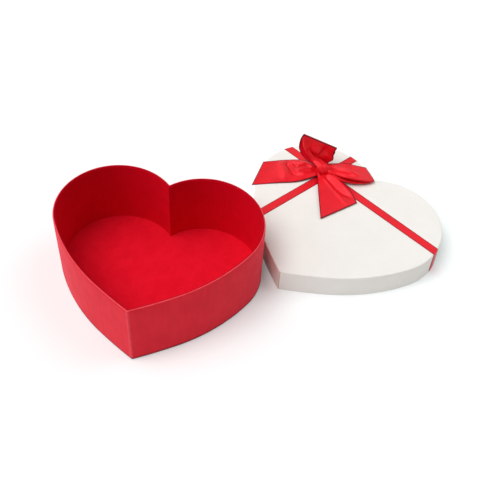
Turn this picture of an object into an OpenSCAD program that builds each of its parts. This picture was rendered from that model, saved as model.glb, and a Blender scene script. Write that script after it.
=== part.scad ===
// Heart-shaped set-up box with a lift-off lid, crossed ribbon bands and a satin bow.
// The box stands at the origin. The lid lies beside it on the same surface.

/* [Heart outline] */
// Width of the box over both lobes
box_w = 200; // [160:1:240]
// Radius of each lobe, as a share of the width
lobe_r_share = 0.2925; // [0.28:0.0025:0.31]
// Distance of the lobe centres behind the origin, as a share of the width
lobe_y_share = 0.09; // [0.07:0.005:0.12]
// Direction in which a lobe runs over into the flank
lobe_end_deg = -29.2; // [-33:0.1:-26]
// Radius of the flank, as a share of the width
flank_r_share = 0.9; // [0.8:0.01:1.05]
// Direction in which the flank runs over into the straight side
flank_end_deg = -55.7; // [-59:0.1:-52]
// Radius of the nearly straight side above the point, as a share of the width
side_r_share = 2.5; // [2:0.1:3.5]

/* [Box] */
// Height of the box
box_h = 75; // [55:1:110]
// Thickness of the wall board
wall_board_t = 1.4; // [1:0.1:2]
// Thickness of the floor board
floor_board_t = 1.6; // [1:0.1:2.5]
// Thickness of the red suede paper
suede_t = 0.5; // [0.4:0.05:0.7]
// Depth of the suede paper turned down inside the rim
turn_in = 15; // [8:1:25]
// Width of the suede paper turned under the box
turn_under = 12; // [8:1:20]
// Thickness of the sheet under the box
under_t = 0.4; // [0.3:0.05:0.6]
// Distance from the edge of the box to the sheet under it
under_inset = 2; // [1:0.5:5]

/* [Corner tape] */
// Thickness of the paper tape over the board joints
tape_t = 0.15; // [0.1:0.01:0.2]
// Width of the tape, half of it on each side of the joint
tape_w = 22; // [14:1:30]

/* [Lid] */
// Height of the lid
lid_h = 27; // [20:1:40]
// Gap all round between the closed lid and the box
lid_gap = 1.1; // [0.6:0.1:1.6]
// Thickness of the rim board
rim_board_t = 1.4; // [1:0.1:2]
// Thickness of the top board
top_board_t = 1.6; // [1:0.1:2.5]
// Thickness of the white paper
white_t = 0.4; // [0.3:0.05:0.6]
// Depth of the white paper turned up inside the rim
lid_turn_in = 12; // [6:1:16]
// Space between the lid and the box on the table, beyond the lid's own growth
table_gap = 2.1; // [1:0.1:30]
// Direction from the box to the lid
lid_side_deg = 31.6; // [31:0.1:33]
// Turn of the lid on the table
lid_turn_deg = -28; // [-29:0.5:-25]

/* [Ribbon bands] */
// Width of the narrow satin ribbon
band_w = 9; // [7:0.5:12]
// Thickness of the narrow ribbon
band_t = 0.35; // [0.25:0.05:0.5]
// Where the bands cross, to the left of the lid's middle, as a share of the box's width
cross_x_share = -0.207; // [-0.24:0.001:-0.18]
// Where the bands cross, towards the cleft, as a share of the box's width
cross_y_share = 0.196; // [0.17:0.001:0.22]
// Direction of the band across the lid
across_deg = -6.5; // [-10:0.1:-4]
// Direction of the band from front to back
along_deg = 77.5; // [74:0.1:82]

/* [Bow] */
// Width of the bow's satin ribbon
bow_ribbon_w = 40; // [34:1:44]
// Thickness of the bow's ribbon
bow_t = 0.5; // [0.4:0.05:0.8]
// Middle of the knot, to the right of the crossing
bow_x = -6.6; // [-8:0.1:-3]
// Middle of the knot, from the crossing towards the cleft
bow_y = 0.8; // [-2:0.1:3]
// Radius of the knot
knot_r = 7.4; // [7:0.1:8.4]
// Height of the knot
knot_h = 12; // [11:0.5:15]
// Distance from the middle of the knot at which each ribbon starts inside it
ribbon_start = 4.5; // [4.3:0.1:5]
// Height of the upright loop above its foot on the knot
upright_rise = 30.6; // [26:0.1:36]
// Half the thickness of the upright loop where it is fullest
upright_bulge = 6.5; // [4:0.5:7.5]
// Length of the low loop on the right
right_len = 48.8; // [42:0.1:54]
// Half the thickness of the low loop where it is fullest
right_bulge = 5; // [3:0.1:5.5]
// Length of the left tail along its middle
tail_left_len = 64.1; // [50:0.1:68]
// Length of the right tail along its middle
tail_right_len = 53.5; // [42:0.5:58]
// Thickness of the gathered ribbon where it enters the knot
gather_t = 1.4; // [1:0.1:2]
// Height of the folds that run out of the knot
fold_h = 1.2; // [0:0.1:1.5]

/* [Hidden] */
$fn = 96;

// Overrun of every cut
over = 1;
// Radii and place of the outline's arcs
lobe_r = lobe_r_share * box_w;
lobe_y = lobe_y_share * box_w;
flank_r = flank_r_share * box_w;
side_r = side_r_share * box_w;
// A reach far outside every outline
far = 4 * side_r;

// Colours of the papers, boards and ribbons
suede_red = [0.78, 0.07, 0.13];
suede_inside = [0.66, 0.03, 0.08];
board_grey = [0.62, 0.58, 0.52];
tape_buff = [0.80, 0.72, 0.56];
paper_white = [0.94, 0.93, 0.91];
paper_under = [0.55, 0.05, 0.09];
satin_red = [0.85, 0.08, 0.14];

// Growth of the heart outline for each face, from the outside of the box inwards
board_out = -suede_t;
board_in = board_out - wall_board_t;
box_in = board_in - suede_t;

// Growth of the heart outline for each face of the lid, from its inside outwards
lid_in = lid_gap;
rim_board_in = lid_in + white_t;
rim_board_out = rim_board_in + rim_board_t;
lid_out = rim_board_out + white_t;

// Levels in the box
board_z = under_t + suede_t;
floor_z = board_z + floor_board_t;
rim_z = box_h - suede_t;
turn_in_z = box_h - turn_in;

// Levels in the lid
top_paper_z = lid_h - white_t;
top_board_z = top_paper_z - top_board_t;
top_lining_z = top_board_z - white_t;

// Share of the box's width by which the middle of the lid stands off
stand_off_share = 0.936;
lid_reach = stand_off_share * box_w + lid_out + table_gap;
lid_place = [lid_reach * cos(lid_side_deg), lid_reach * sin(lid_side_deg), 0];

// The bow stands on the crossing, where one band passes over the other
crossing = [cross_x_share * box_w, cross_y_share * box_w];
bow_place = crossing + [bow_x, bow_y];
bow_hover = 2 * band_t;
bow_z = lid_h + bow_hover;

// Point at a distance from the origin in a direction
function ray(deg, d) = [cos(deg) * d, sin(deg) * d];

// Centres of the right half's three arcs. Each arc runs over smoothly into the next.
lobe_c = [box_w / 2 - lobe_r, lobe_y];
flank_c = lobe_c - ray(lobe_end_deg, flank_r - lobe_r);
side_c = flank_c - ray(flank_end_deg, side_r - flank_r);

// Everything below the line through a point in a direction
module below_line(at, deg) {
  translate(at) rotate(deg) translate([-far, -2 * far]) square([2 * far, 2 * far]);
}

// Right half of the heart. The outline is grown outwards by grow.
module half_heart(grow) {
  intersection() {
    translate([0, -far]) square([far, 2 * far]);
    translate(side_c) circle(r = side_r + grow);
    union() {
      translate(flank_c) circle(r = flank_r + grow);
      below_line(flank_c, flank_end_deg);
    }
    union() {
      translate(lobe_c) circle(r = lobe_r + grow);
      below_line(lobe_c, lobe_end_deg);
    }
  }
}

module heart(grow) {
  half_heart(grow);
  mirror([1, 0]) half_heart(grow);
}

// Solid heart between two levels
module heart_slab(grow, from_z, to_z) {
  translate([0, 0, from_z]) linear_extrude(to_z - from_z) heart(grow);
}

// Wall that follows the heart between two growths and two levels
module heart_wall(out_grow, in_grow, from_z, to_z) {
  translate([0, 0, from_z]) linear_extrude(to_z - from_z) difference() {
    heart(out_grow);
    heart(in_grow);
  }
}

// Half of a wall: side is 1 for the right half and 0 for the left
module half_wall(out_grow, in_grow, from_z, to_z, side) {
  translate([0, 0, from_z]) linear_extrude(to_z - from_z) mirror([1 - side, 0]) difference() {
    half_heart(out_grow);
    heart(in_grow);
  }
}

// Tape over a joint: side is 1 at the cleft and -1 at the point
module stay_tape(in_grow, from_z, to_z, side) {
  intersection() {
    heart_wall(in_grow + tape_t, in_grow, from_z, to_z);
    translate([-tape_w / 2, side > 0 ? 0 : -far, from_z]) cube([tape_w, far, to_z - from_z]);
  }
}

module base_tapes() {
  stay_tape(board_out, board_z, rim_z, 1);
  stay_tape(board_out, board_z, rim_z, -1);
}

module lid_tapes() {
  stay_tape(rim_board_out, white_t, top_paper_z, 1);
  stay_tape(rim_board_out, white_t, top_paper_z, -1);
}

// Puts a piece of the lid where the lid lies on the table
module on_table() {
  translate(lid_place) rotate(lid_turn_deg) children();
}

// Box

module base_wall_board_left() {
  color(board_grey) half_wall(board_out, board_in, board_z, rim_z, 0);
}

module base_wall_board_right() {
  color(board_grey) half_wall(board_out, board_in, board_z, rim_z, 1);
}

module base_stay_tape_cleft() {
  color(tape_buff) stay_tape(board_out, board_z, rim_z, 1);
}

module base_stay_tape_point() {
  color(tape_buff) stay_tape(board_out, board_z, rim_z, -1);
}

module base_floor_board() {
  color(board_grey) heart_slab(board_in, board_z, floor_z);
}

// Outer skin, carried over the rim and down inside it, and turned under the box
module base_wall_wrap() {
  color(suede_red) difference() {
    heart_slab(0, under_t, box_h);
    heart_slab(board_out, board_z, turn_in_z);
    heart_wall(board_out, board_in, turn_in_z - over, rim_z);
    heart_slab(box_in, turn_in_z - over, box_h + over);
    heart_slab(-turn_under, under_t - over, board_z + over);
    base_tapes();
  }
}

module base_wall_lining() {
  color(suede_inside) heart_wall(board_in, box_in, floor_z, turn_in_z);
}

module base_floor_lining() {
  color(suede_inside) heart_slab(box_in, floor_z, floor_z + suede_t);
}

module base_underside_paper() {
  color(paper_under) heart_slab(-under_inset, 0, under_t);
}

// Lid

module lid_top_board() {
  color(board_grey) on_table() heart_slab(rim_board_in, top_board_z, top_paper_z);
}

module lid_rim_board_left() {
  color(board_grey) on_table() half_wall(rim_board_out, rim_board_in, white_t, top_paper_z, 0);
}

module lid_rim_board_right() {
  color(board_grey) on_table() half_wall(rim_board_out, rim_board_in, white_t, top_paper_z, 1);
}

module lid_stay_tape_cleft() {
  color(tape_buff) on_table() stay_tape(rim_board_out, white_t, top_paper_z, 1);
}

module lid_stay_tape_point() {
  color(tape_buff) on_table() stay_tape(rim_board_out, white_t, top_paper_z, -1);
}

// White strip round the rim, turned in under its edge and up inside it
module lid_rim_wrap() {
  color(paper_white) on_table() difference() {
    heart_slab(lid_out, 0, top_paper_z);
    heart_slab(rim_board_out, lid_turn_in, top_paper_z + over);
    heart_wall(rim_board_out, rim_board_in, white_t, lid_turn_in + over);
    heart_slab(lid_in, -over, lid_turn_in + over);
    lid_tapes();
  }
}

module lid_top_paper() {
  color(paper_white) on_table() heart_slab(lid_out, top_paper_z, lid_h);
}

module lid_top_lining() {
  color(paper_white) on_table() heart_slab(rim_board_in, top_lining_z, top_board_z);
}

module lid_rim_lining() {
  color(paper_white) on_table() heart_wall(rim_board_in, lid_in, lid_turn_in, top_lining_z);
}

// Ribbon bands

// Strip of ribbon through the crossing, as wide as the band, grown on each side by grow
module band_strip(deg, grow) {
  translate([crossing[0], crossing[1], -over]) rotate(deg)
    translate([-far, -band_w / 2 - grow, 0]) cube([2 * far, band_w + 2 * grow, lid_h + far]);
}

// Skin of one ribbon thickness over the lid's top and rim
module ribbon_skin() {
  difference() {
    heart_slab(lid_out + band_t, 0, lid_h + band_t);
    heart_slab(lid_out, -over, lid_h);
  }
}

module ribbon_band_across() {
  color(satin_red) on_table() intersection() {
    ribbon_skin();
    band_strip(across_deg, 0);
  }
}

// This band lies over the other one where they cross
module ribbon_band_along() {
  color(satin_red) on_table() {
    difference() {
      intersection() {
        ribbon_skin();
        band_strip(along_deg, 0);
      }
      band_strip(across_deg, 0);
    }
    intersection() {
      translate([0, 0, lid_h + band_t]) linear_extrude(band_t) heart(lid_out);
      band_strip(along_deg, 0);
      band_strip(across_deg, over);
    }
  }
}

// Bow. Each ribbon is worked out in its own frame: x runs out from where it starts in the knot,
// y across the ribbon, and z up from the top of the lid.

// Directions in which the ribbons leave the knot, in the lid's frame
upright_deg = 120;
right_deg = 20;
tail_left_deg = 226;
tail_right_deg = -37.5;
// Direction across the strip that is wrapped over the knot
knot_wrap_deg = 61;

// Width of the gathered ribbon where it starts, as a share of its distance from the knot's middle.
// The starts of the ribbons then stand round the middle of the knot without touching.
gather_w_share = 2.08;
gather_w = gather_w_share * ribbon_start;

// Smooth step from 0 to 1
function ease(t) = t <= 0 ? 0 : t >= 1 ? 1 : t * t * (3 - 2 * t);

// Soft bump that is 1 in its middle
function bump(x) = exp(-x * x);

function unit(v) = v / norm(v);

// Width of the ribbon where it has fanned out over the share t of its length
function opened(full_w, t) = gather_w + (full_w - gather_w) * sin(90 * min(1, t));

// Thickness of the ribbon, gathered at the knot and single further out
gather_share = 0.3;
function ribbon_thickness(t) = bow_t + (gather_t - bow_t) * (1 - ease(t / gather_share));

// Share of a ribbon's length by which its folds have risen
fold_start_share = 0.2;

// Folds that run out of the knot. Each row is one fold: its place across the ribbon at the knot,
// its place at its end, its height, its width and its reach.
function fold_rise(shares, t, v) =
  fold_h
  * [for (f = shares)
      f[2] * (1 - ease(t / f[4])) * bump((v - f[0] - (f[1] - f[0]) * min(1, t / f[4])) / f[3])]
  * [for (f = shares) 1];

// Closed solid between two grids of points, rows by columns
module sheet(upper, lower) {
  rows = len(upper);
  cols = len(upper[0]);
  shift = rows * cols;
  points = concat([for (row = upper) for (p = row) p], [for (row = lower) for (p = row) p]);
  function at(i, j) = i * cols + j;
  faces = concat(
    [for (i = [0:rows - 2]) for (j = [0:cols - 2]) each [
      [at(i, j), at(i, j + 1), at(i + 1, j + 1)],
      [at(i, j), at(i + 1, j + 1), at(i + 1, j)],
      [shift + at(i, j), shift + at(i + 1, j + 1), shift + at(i, j + 1)],
      [shift + at(i, j), shift + at(i + 1, j), shift + at(i + 1, j + 1)]
    ]],
    [for (i = [0:rows - 2]) each [
      [shift + at(i, 0), at(i, 0), at(i + 1, 0)],
      [shift + at(i, 0), at(i + 1, 0), shift + at(i + 1, 0)],
      [at(i, cols - 1), shift + at(i, cols - 1), shift + at(i + 1, cols - 1)],
      [at(i, cols - 1), shift + at(i + 1, cols - 1), at(i + 1, cols - 1)]
    ]],
    [for (j = [0:cols - 2]) each [
      [at(0, j), shift + at(0, j), shift + at(0, j + 1)],
      [at(0, j), shift + at(0, j + 1), at(0, j + 1)],
      [shift + at(rows - 1, j), at(rows - 1, j), at(rows - 1, j + 1)],
      [shift + at(rows - 1, j), at(rows - 1, j + 1), shift + at(rows - 1, j + 1)]
    ]]
  );
  polyhedron(points = points, faces = faces);
}

// Places a ribbon at its start in the knot, on top of the lid
module at_knot(deg) {
  on_table() translate([bow_place[0], bow_place[1], lid_h]) rotate(deg)
    translate([ribbon_start, 0, 0]) children();
}

// Point and slope of a cubic curve with four guide points
function curve_point(p, t) =
  p[0] * pow(1 - t, 3) + 3 * p[1] * t * pow(1 - t, 2) + 3 * p[2] * t * t * (1 - t) + p[3] * pow(t, 3);
function curve_slope(p, t) =
  (p[1] - p[0]) * pow(1 - t, 2) + 2 * (p[2] - p[1]) * t * (1 - t) + (p[3] - p[2]) * t * t;

// Guide points of a loop's middle, from its foot on the knot to its tip
function loop_path(shares, length, foot_z) = [for (p = shares) p * length + [0, 0, foot_z]];

// Share of a loop's thickness that is left where it enters the knot
foot_share = 0.28;
// Share of a loop's length at which it is fullest
full_share = 0.6;

// Point of a loop. s runs from 0 at the knot, out to the tip at 0.5, and back to 1. v runs across
// the ribbon from -1 to 1. The two layers lie on both sides of the path. mid_share moves the middle
// of the ribbon across the path, and the ribbon is narrower by as much.
function loop_point(s, v, path, full_w, tip_share, flare_share, bulge, thin_share, turn_deg,
                    tilt_deg, slant, mid_share, folds) =
  let (t = sin(180 * s),
       side = -cos(180 * s),
       heading = 90 + turn_deg * ease(t),
       tilt = tilt_deg * ease(t),
       wide = [cos(heading) * cos(tilt), sin(heading) * cos(tilt), sin(tilt)],
       along = unit(curve_slope(path, t)),
       normal = unit(cross(along, wide)),
       place = mid_share + (1 - mid_share) * v,
       half = opened(full_w * (1 - (1 - tip_share) * ease(t)), t / flare_share) / 2,
       swell = foot_share + (1 - foot_share) * ease(t / full_share) - thin_share * t * t,
       fold = side > 0 ? fold_rise(folds, t, v) * ease(t / fold_start_share) : 0)
  curve_point(path, t) + place * half * wide + side * (bulge * swell + fold) * normal
  - slant * place * t * t * along;

// Upright loop: it leaves the knot level, bends up and leans back over it
upright_path_shares = [[0, 0, 0], [0.131, 0.18, 0.052], [0.278, 0.343, 0.526], [0.013, 0.183, 1]];
upright_foot_share = 0.62;
upright_w_share = 0.95;
upright_tip_share = 0.97;
upright_flare_share = 0.52;
upright_thin_share = 0.25;
upright_turn_deg = -9;
upright_tilt_deg = 12.5;
upright_fold_shares = [[0, 0.5, 1.2, 0.25, 0.8], [-0.5, -0.75, 0.6, 0.25, 0.7]];
upright_point = function (s, v)
  loop_point(s, v, loop_path(upright_path_shares, upright_rise, upright_foot_share * knot_h),
             bow_ribbon_w * upright_w_share, upright_tip_share, upright_flare_share, upright_bulge,
             upright_thin_share, upright_turn_deg, upright_tilt_deg, 0, 0, upright_fold_shares);

// Low loop on the right: its near edge is drawn in and its tip slants back
right_path_shares = [[0, 0, 0], [0.277, -0.113, 0.033], [0.625, -0.164, 0.023], [1, 0.143, -0.053]];
right_foot_share = 0.54;
right_w_share = 0.8;
right_tip_share = 1.05;
right_flare_share = 0.6;
right_turn_deg = 10;
right_slant = 9.5;
right_mid_share = 0.3;
right_fold_shares = [[0.1, -0.1, -1.2, 0.22, 0.75], [0.6, 0.45, 0.6, 0.3, 0.8]];
right_point = function (s, v)
  loop_point(s, v, loop_path(right_path_shares, right_len, right_foot_share * knot_h),
             bow_ribbon_w * right_w_share, right_tip_share, right_flare_share, right_bulge,
             0, right_turn_deg, 0, right_slant, right_mid_share, right_fold_shares);

// Grid of points on one face of a loop: side is 1 for the outer face and -1 for the inner one
loop_rows = 32;
loop_cols = 12;
step_share = 0.002;
function loop_grid(point, side) = [
  for (i = [0:loop_rows]) [
    for (j = [0:loop_cols])
      let (s = i / loop_rows,
           v = -1 + 2 * j / loop_cols,
           normal = i == 0 ? [0, 0, 1] : i == loop_rows ? [0, 0, -1] :
             unit(cross(point(s + step_share, v) - point(s - step_share, v),
                        point(s, v + step_share) - point(s, v - step_share))))
      point(s, v) + side * ribbon_thickness(sin(180 * s)) / 2 * normal
  ]
];

module loop_upright_ribbon() {
  at_knot(upright_deg) sheet(loop_grid(upright_point, 1), loop_grid(upright_point, -1));
}

module loop_right_ribbon() {
  at_knot(right_deg) sheet(loop_grid(right_point, 1), loop_grid(right_point, -1));
}

module bow_loop_upright() {
  color(satin_red) loop_upright_ribbon();
}

module bow_loop_right() {
  color(satin_red) loop_right_ribbon();
}

// Tails. u runs from 0 at the knot to 1 at the slanting end, v across from -1 to 1.
tail_rows = 20;
tail_cols = 16;
tail_foot_share = 0.18;
// Shares of the tail's length by which it has come down, starts to settle and lies flat
down_share = 0.5;
settle_share = 0.6;
flat_share = 0.9;

// Underside of a tail that comes to rest at the level rest_z
function tail_under(u, rest_z) =
  bow_hover + (tail_foot_share * knot_h - bow_hover) * (1 - ease(u / down_share))
  - (bow_hover - rest_z) * ease((u - settle_share) / (flat_share - settle_share));

// Tail that rests on the lid: its middle arches up between the knot and the flat end
tail_left_w_share = 0.83;
tail_left_flare_share = 0.45;
tail_left_slant = 8.6;
tail_left_bend = -2.1;
tail_left_curl = -3.2;
tail_left_arch = 4.5;
tail_left_fold_shares = [[-0.2, 0.3, 1.2, 0.2, 0.6], [-0.6, -0.3, -1, 0.2, 0.5]];
function tail_left_point(u, v) =
  let (half = opened(bow_ribbon_w * tail_left_w_share, u / tail_left_flare_share) / 2,
       arch = tail_left_arch * (1 - v * v) * ease(u / down_share) * (1 - ease(u / flat_share)),
       fold = fold_rise(tail_left_fold_shares, u, v) * ease(u / fold_start_share))
  [u * (tail_left_len + tail_left_slant * v),
   v * half + 4 * tail_left_bend * u * (1 - u) + tail_left_curl * u * u,
   tail_under(u, 0) + arch + fold];

// Tail that fans out and lies with its right half on the band
tail_right_w_share = 1.09;
tail_right_slant = -6.7;
tail_right_bend = 1.6;
tail_right_belly = 2;
tail_right_lift = 1;
tail_right_rest = 0.5;
tail_right_fold_shares = [[0.3, 0.3, 1.3, 0.18, 0.7], [-0.35, -0.4, 1.3, 0.22, 0.8]];
function tail_right_point(u, v) =
  let (half = (gather_w + (bow_ribbon_w * tail_right_w_share - gather_w) * u) / 2
              + 4 * tail_right_belly * u * (1 - u),
       lift = tail_right_lift * sin(180 * u),
       fold = fold_rise(tail_right_fold_shares, u, v) * ease(u / fold_start_share))
  [u * (tail_right_len + tail_right_slant * v),
   v * half + 4 * tail_right_bend * u * (1 - u),
   tail_under(u, tail_right_rest * ease(1 + v)) + lift + fold];

// Grid of points on one face of a tail: side is 1 for the upper face and 0 for the lower one
function tail_grid(point, side) = [
  for (i = [0:tail_rows]) [
    for (j = [0:tail_cols])
      let (u = i / tail_rows)
      point(u, -1 + 2 * j / tail_cols) + [0, 0, side * ribbon_thickness(u)]
  ]
];

module tail_left_ribbon() {
  point = function (u, v) tail_left_point(u, v);
  at_knot(tail_left_deg) sheet(tail_grid(point, 1), tail_grid(point, 0));
}

module tail_right_ribbon() {
  point = function (u, v) tail_right_point(u, v);
  at_knot(tail_right_deg) sheet(tail_grid(point, 1), tail_grid(point, 0));
}

module bow_tail_left() {
  color(satin_red) tail_left_ribbon();
}

module bow_tail_right() {
  color(satin_red) tail_right_ribbon();
}

// Knot: a domed core with a strip of ribbon wrapped over it. The ribbons run into it, and it is
// hollowed out by just their own forms.
knot_edge_share = 0.45;
knot_edge_r = knot_edge_share * knot_h;
core_share = 0.92;
core_r = core_share * knot_r;
wrap_w = 10.6;
wrap_rise = 0.6;
knot_facets = 44;
module knot_profile() {
  square([core_r - knot_edge_r, knot_h]);
  square([core_r, knot_h - knot_edge_r]);
  translate([core_r - knot_edge_r, knot_h - knot_edge_r]) circle(r = knot_edge_r, $fn = knot_facets);
}

// Strip over the top of the knot, straight down at both ends
module knot_strip() {
  rotate(knot_wrap_deg) translate([0, 0, knot_h + wrap_rise - knot_r]) rotate([0, 90, 0])
    translate([0, 0, -wrap_w / 2]) cylinder(r = knot_r, h = wrap_w, $fn = 2 * knot_facets);
}

module bow_knot() {
  color(satin_red) difference() {
    on_table() translate([bow_place[0], bow_place[1], bow_z]) union() {
      rotate_extrude($fn = knot_facets) intersection() {
        knot_profile();
        square([core_r, knot_h]);
      }
      intersection() {
        knot_strip();
        translate([-2 * knot_r, -2 * knot_r, 0]) cube([4 * knot_r, 4 * knot_r, 2 * knot_h]);
      }
    }
    loop_upright_ribbon();
    loop_right_ribbon();
    tail_left_ribbon();
    tail_right_ribbon();
  }
}

base_wall_board_left();
base_wall_board_right();
base_stay_tape_cleft();
base_stay_tape_point();
base_floor_board();
base_wall_wrap();
base_wall_lining();
base_floor_lining();
base_underside_paper();
lid_top_board();
lid_rim_board_left();
lid_rim_board_right();
lid_stay_tape_cleft();
lid_stay_tape_point();
lid_rim_wrap();
lid_top_paper();
lid_top_lining();
lid_rim_lining();
ribbon_band_across();
ribbon_band_along();
bow_knot();
bow_loop_upright();
bow_loop_right();
bow_tail_left();
bow_tail_right();
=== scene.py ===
import math

import bpy
import numpy as np
from mathutils import Matrix, Vector


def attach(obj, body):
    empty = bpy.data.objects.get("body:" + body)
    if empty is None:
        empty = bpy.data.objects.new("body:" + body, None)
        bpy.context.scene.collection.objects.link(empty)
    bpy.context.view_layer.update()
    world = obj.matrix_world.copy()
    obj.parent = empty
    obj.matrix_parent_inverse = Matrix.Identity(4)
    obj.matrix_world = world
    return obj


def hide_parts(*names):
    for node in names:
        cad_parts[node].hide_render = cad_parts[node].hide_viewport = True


# Heart-shaped set-up box of red suede paper. Its white lid lies beside it, with two narrow satin
# bands and a satin bow. Sizes are in millimetres and angles in degrees.

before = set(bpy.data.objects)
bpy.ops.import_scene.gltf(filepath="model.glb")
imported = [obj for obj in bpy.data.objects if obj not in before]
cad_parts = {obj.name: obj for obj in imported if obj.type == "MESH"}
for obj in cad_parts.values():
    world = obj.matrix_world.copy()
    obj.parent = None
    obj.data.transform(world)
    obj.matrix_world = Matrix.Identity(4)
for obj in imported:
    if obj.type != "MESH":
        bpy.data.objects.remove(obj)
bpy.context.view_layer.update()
MM = 0.001

# Heart outline
BOX_W = 200
LOBE_R = 0.2925 * BOX_W
LOBE_Y = 0.09 * BOX_W
LOBE_END = -29.2
FLANK_R = 0.9 * BOX_W
FLANK_END = -55.7
SIDE_R = 2.5 * BOX_W

# Box
BOX_H = 75
SUEDE_T = 0.5
BOARD_OUT = -0.5
BOARD_IN = -1.9
BOX_IN = -2.4
TURN_IN_Z = 60
TURN_UNDER = 12
UNDER_T = 0.4
RIM_R = 1.15
FOOT_R = 0.8
POINT_R = 1.3
CLEFT_R = 0.8
INNER_POINT_R = 0.5
FOOT_POINTS = 5
WALL_STEP = 4
WALL_ROWS = 8
RIM_STEPS = 10
TURN_IN_MIDDLE = 68
WALL_MIDDLE = 38
BOARD_TOP_DROP = 0.6
BOARD_SIDE_DROP = 1.4

# Lid
LID_H = 27
LID_IN = 1.1
RIM_BOARD_IN = 1.5
RIM_BOARD_OUT = 2.9
LID_OUT = 3.3
WHITE_T = 0.4
LID_TURN_IN = 12
LID_EDGE_R = 1.2
LID_FOOT_R = 0.5
LID_POINT_R = 0.1
LID_CLEFT_R = 1.0
LID_TURN_IN_MIDDLE = 6
LID_RIM_LEVELS = (3, 9, 15, 21)
EDGE_POINTS = 8
PAPER_SEAM_Z = LID_H - LID_EDGE_R - 0.3
PAPER_FLAT_FROM = 4
PAPER_CORNER_IN = 0.5
PAPER_CORNER_DOWN = 0.1
LID_REACH = 0.936 * BOX_W + LID_OUT + 2.1
LID_SIDE = 31.6
LID_TURN = -28

# Ribbon bands
BAND_W = 9
BAND_T = 0.35
BAND_FOOT = 0.7
BAND_GLUE = 0.01
BAND_GAP = 0.05
BAND_RAMP = 5
BAND_COLUMNS = 13
BAND_ROWS = 60
BAND_RIM_ROWS = 8
CROSSING = np.array([-0.207 * BOX_W, 0.196 * BOX_W])
ACROSS = -6.5
ALONG = 77.5

# Bow
BOW_W = 40
BOW_T = 0.36
KNOT = CROSSING + np.array([-6.6, 0.8])
KNOT_H = 12
KNOT_WRAP = 61
HOVER = 2 * BAND_T
RIBBON_COLUMNS = 97
LOOP_ROWS = 161
TAIL_ROWS = 131
TAIL_START = 3
TAIL_GAP = 0.02
TAIL_CLEAR = 0.05
LOOP_ROLL_LENGTH = 45
LOOP_SWELL_AT_KNOT = 0.28
CORNER_CUTS = 3

# Edges that turn by more than these degrees stay crisp
PAPER_CRISP = 50
SATIN_CRISP = 60


# Outline of the heart

def ray(deg, length):
    """Vector of a length in a direction."""
    turn = math.radians(deg)
    return np.array([math.cos(turn), math.sin(turn)]) * length


LOBE_C = np.array([BOX_W / 2 - LOBE_R, LOBE_Y])
FLANK_C = LOBE_C - ray(LOBE_END, FLANK_R - LOBE_R)
SIDE_C = FLANK_C - ray(FLANK_END, SIDE_R - FLANK_R)
CLEFT_POINTS = 5
LOBE_POINTS = 72
FLANK_POINTS = 28
SIDE_POINTS = 28
POINT_POINTS = 6


def heading(vector):
    """Direction of a vector in degrees."""
    return math.degrees(math.atan2(vector[1], vector[0]))


def arc(centre, radius, from_deg, to_deg, count, last=False):
    """Points of an arc, with its last point or without it."""
    turn = np.radians(np.linspace(from_deg, to_deg, count, endpoint=last))
    return centre + radius * np.stack([np.cos(turn), np.sin(turn)], axis=1)


def outline(grow, point_r, cleft_r):
    """Closed outline grown by grow, from the cleft round the right side to the point and back."""
    lobe_r = LOBE_R + grow
    side_r = SIDE_R + grow
    rise = math.sqrt((lobe_r + cleft_r) ** 2 - LOBE_C[0] ** 2)
    cleft_c = np.array([0, LOBE_C[1] + rise])
    drop = math.sqrt((side_r - point_r) ** 2 - SIDE_C[0] ** 2)
    point_c = np.array([0, SIDE_C[1] - drop])
    point_deg = heading(point_c - SIDE_C)
    right = np.concatenate([
        arc(cleft_c, cleft_r, -90, heading(LOBE_C - cleft_c), CLEFT_POINTS),
        arc(LOBE_C, lobe_r, heading(cleft_c - LOBE_C), LOBE_END, LOBE_POINTS),
        arc(FLANK_C, FLANK_R + grow, LOBE_END, FLANK_END, FLANK_POINTS),
        arc(SIDE_C, side_r, FLANK_END, point_deg, SIDE_POINTS),
        arc(point_c, point_r, point_deg, -90, POINT_POINTS, last=True),
    ])
    left = right[-2:0:-1] * np.array([-1, 1])
    return np.concatenate([right, left])


def inside(x, y, grow):
    """Whether a point lies within the outline grown by grow."""
    at = np.array([abs(x), y])

    def beyond(centre, deg):
        """Whether the point lies beyond the end of an arc."""
        return np.dot(at - centre, ray(deg + 90, 1)) < 0

    lobe = math.dist(at, LOBE_C) < LOBE_R + grow
    flank = math.dist(at, FLANK_C) < FLANK_R + grow
    side = math.dist(at, SIDE_C) < SIDE_R + grow
    in_flank = flank or beyond(FLANK_C, FLANK_END)
    in_lobe = lobe or beyond(LOBE_C, LOBE_END)
    return side and in_flank and in_lobe


def reach(start, deg, grow):
    """Distance from a point within the heart to its outline, in a direction."""
    halvings = 40
    step = ray(deg, 1)
    near, out = 0.0, 1.25 * BOX_W
    for _ in range(halvings):
        middle = (near + out) / 2
        x, y = start + step * middle
        if inside(x, y, grow):
            near = middle
        else:
            out = middle
    return near


def corner_arc(centre, radius, from_deg, to_deg, count):
    """Points of a rounded corner in a section, as pairs of growth and level."""
    return [tuple(p) for p in arc(np.array(centre), radius, from_deg, to_deg, count, last=True)]


# Meshes

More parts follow.
